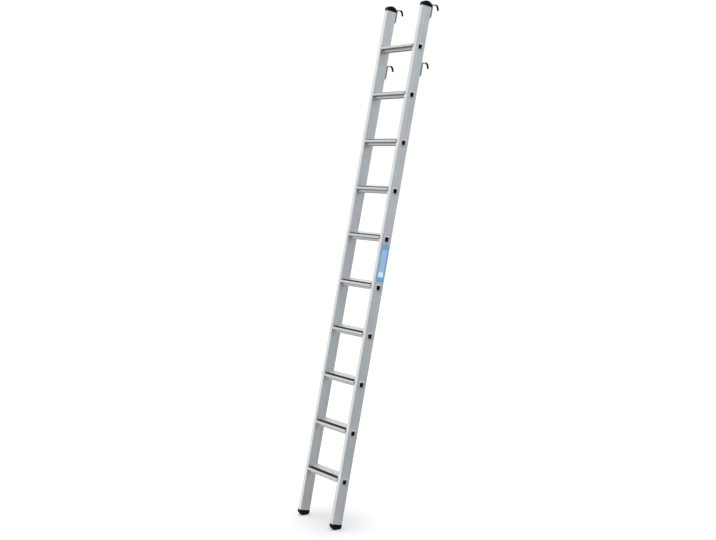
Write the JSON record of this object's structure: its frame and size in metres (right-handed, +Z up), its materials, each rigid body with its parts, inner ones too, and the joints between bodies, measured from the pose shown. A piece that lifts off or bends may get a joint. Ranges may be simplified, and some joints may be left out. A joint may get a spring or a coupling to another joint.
{
  "type": "shelf ladder",
  "caption": "Leaning shelf ladder with box-section aluminium stiles, hollow flanged steps with dark anti-slip strips, black end caps and feet, and rear hooks for hanging on a rail.",
  "frame": {"origin": "on the floor, midway between the stiles across, and midway between the front of the feet and the rear of the upper hooks in depth", "axes": "+Z up from the floor; +X across the ladder, to the right of someone facing it to climb; +Y away from the climber, the way the ladder leans"},
  "size_m": [0.354, 0.6558, 2.6767],
  "materials": {
    "stile": "satin anodised",
    "step": "mill finish",
    "grip": "ribbed, matt",
    "cap": "moulded, fine grain",
    "foot": "moulded, matt",
    "hook": "zinc plated, dull",
    "rod": "zinc plated",
    "sleeve": "moulded, matt",
    "label": "printed film, no lettering"
  },
  "bodies": {
    "root": {"stile_left": "stile", "stile_right": "stile", "step_01": "step", "tread_strip_01": "grip", "step_02": "step", "tread_strip_02": "grip", "step_03": "step", "tread_strip_03": "grip", "step_04": "step", "tread_strip_04": "grip", "step_05": "step", "tread_strip_05": "grip", "step_06": "step", "tread_strip_06": "grip", "step_07": "step", "tread_strip_07": "grip", "step_08": "step", "tread_strip_08": "grip", "step_09": "step", "tread_strip_09": "grip", "step_10": "step", "tread_strip_10": "grip", "top_cap_left": "cap", "foot_left": "foot", "hook_pad_lower_left": "hook", "hook_rod_lower_left": "rod", "hook_sleeve_lower_left": "sleeve", "hook_pad_upper_left": "hook", "hook_rod_upper_left": "rod", "hook_sleeve_upper_left": "sleeve", "top_cap_right": "cap", "foot_right": "foot", "hook_pad_lower_right": "hook", "hook_rod_lower_right": "rod", "hook_sleeve_lower_right": "sleeve", "hook_pad_upper_right": "hook", "hook_rod_upper_right": "rod", "hook_sleeve_upper_right": "sleeve", "side_label": "label"}
  },
  "joints": []
}
